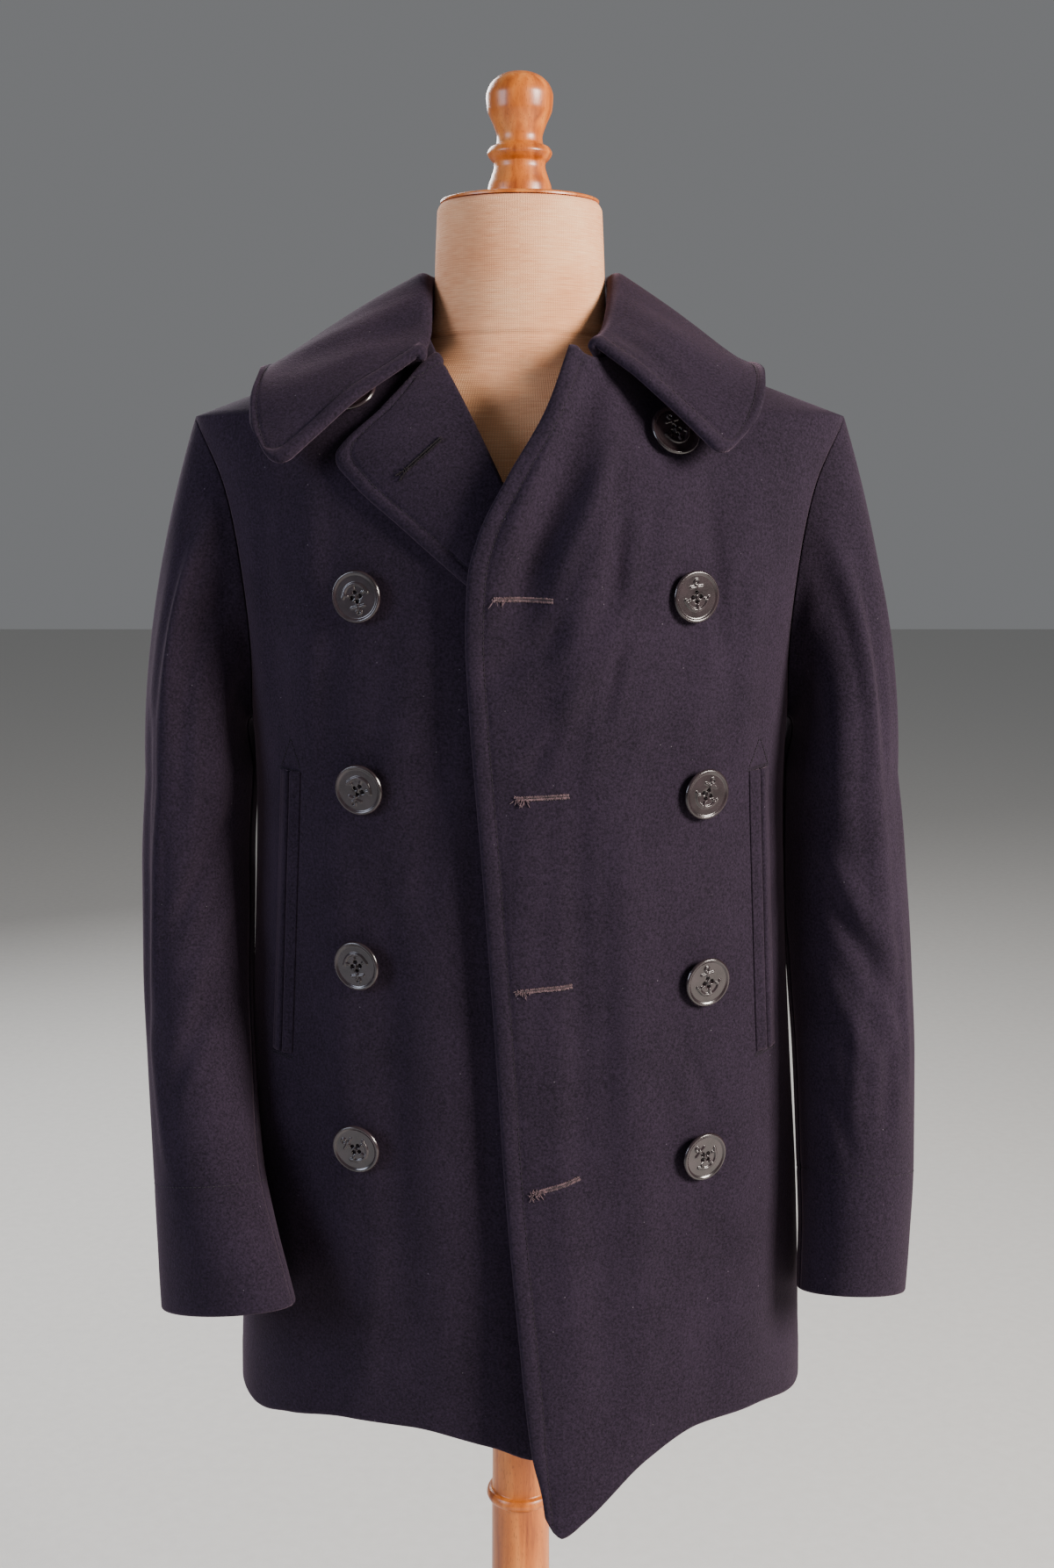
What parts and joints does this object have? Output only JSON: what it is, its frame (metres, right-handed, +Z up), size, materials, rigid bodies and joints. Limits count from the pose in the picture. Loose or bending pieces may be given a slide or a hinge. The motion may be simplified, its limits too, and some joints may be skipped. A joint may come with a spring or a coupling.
{
  "type": "pea coat on a limbless dress form",
  "caption": "Double-breasted navy wool pea coat with wide collar and vertical pockets, on a limbless linen dress form with turned wooden stand.",
  "frame": {"origin": "middle of the stand's flat underside, on the floor", "axes": "+Z up along the post; the coat faces -Y; +X is the wearer's left, the viewer's right"},
  "size_m": [0.5648, 0.38, 1.587],
  "materials": {
    "melton_wool": "matte fulled wool nap, near-black navy",
    "moulded_button": "polished dark moulded resin",
    "linen": "plain unbleached linen, pasted tight",
    "varnished_wood": "satin varnished beech"
  },
  "bodies": {
    "root": {"front_left": "melton_wool", "front_right": "melton_wool", "lapel_right": "melton_wool", "back_left": "melton_wool", "back_right": "melton_wool", "sleeve_top_left": "melton_wool", "sleeve_under_left": "melton_wool", "sleeve_top_right": "melton_wool", "sleeve_under_right": "melton_wool", "collar": "melton_wool", "welt_front_left": "melton_wool", "welt_back_left": "melton_wool", "welt_front_right": "melton_wool", "welt_back_right": "melton_wool", "button_left_1": "moulded_button", "button_left_2": "moulded_button", "button_left_3": "moulded_button", "button_left_4": "moulded_button", "button_left_5": "moulded_button", "button_right_1": "moulded_button", "button_right_2": "moulded_button", "button_right_3": "moulded_button", "button_right_4": "moulded_button", "button_right_5": "moulded_button", "bust": "linen", "neck_cap": "varnished_wood", "finial": "varnished_wood", "post": "varnished_wood", "base": "varnished_wood"}
  },
  "joints": []
}
